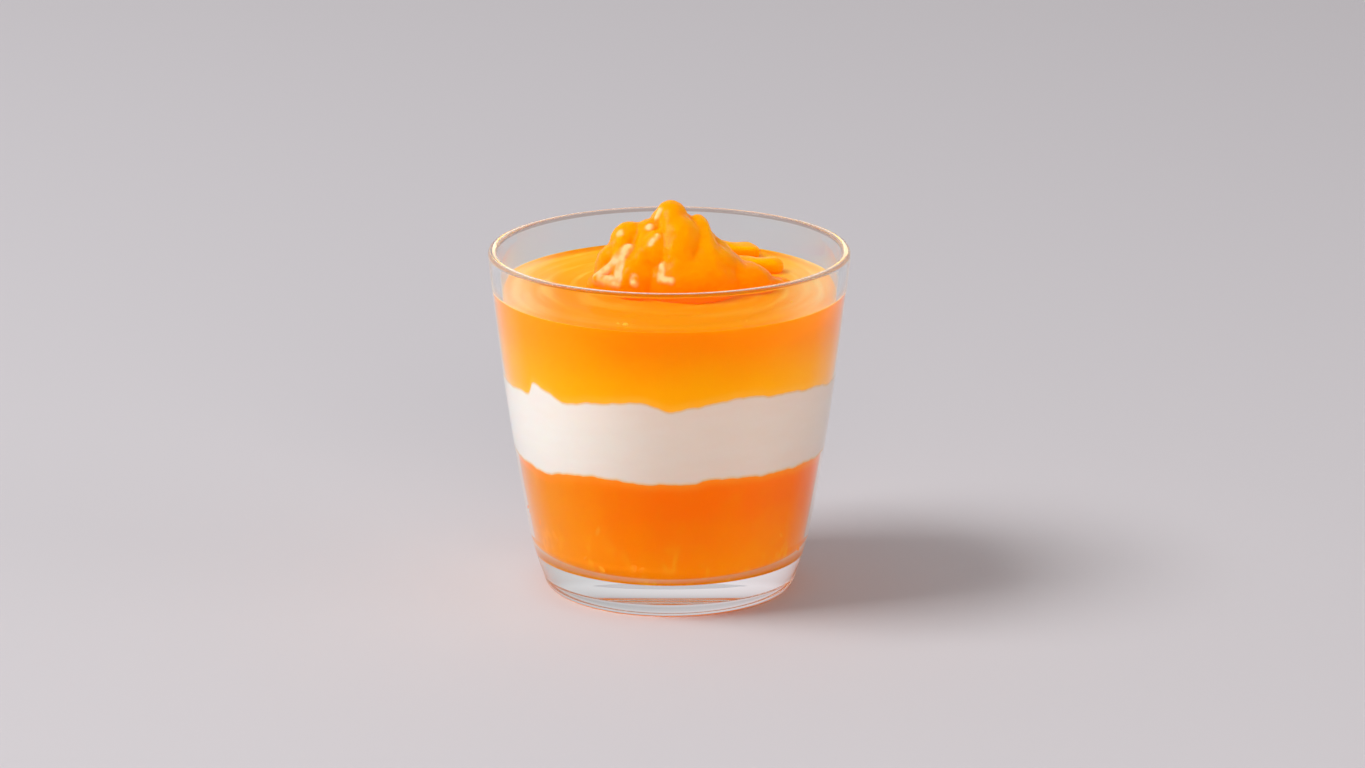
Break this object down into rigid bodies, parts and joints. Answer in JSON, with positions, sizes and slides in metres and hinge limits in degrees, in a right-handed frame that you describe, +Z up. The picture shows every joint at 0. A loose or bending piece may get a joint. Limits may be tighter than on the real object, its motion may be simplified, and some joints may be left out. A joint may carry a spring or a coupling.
{
  "type": "layered orange jelly dessert in a glass",
  "caption": "Orange jelly and cream set in layers in a clear tapered tumbler, with a heap of broken jelly on top.",
  "frame": {"origin": "centre of the glass's foot, on the table", "axes": "+Z up along the glass's axis; -Y is the front, where the heap's left lobe and right lip show to the left and the right"},
  "size_m": [0.08, 0.08, 0.0873],
  "materials": {
    "clear_glass": "clear, polished",
    "lower_jelly": "set jelly, clear and glossy, with pulp",
    "cream": "whipped cream, soft satin",
    "upper_jelly": "set jelly, clear and glossy",
    "broken_jelly": "broken jelly, wet and glossy"
  },
  "bodies": {
    "root": {"glass": "clear_glass", "jelly_lower": "lower_jelly", "cream": "cream", "jelly_upper": "upper_jelly", "jelly_mound": "broken_jelly", "jelly_strip_back": "broken_jelly", "jelly_strip_front": "broken_jelly"}
  },
  "joints": []
}
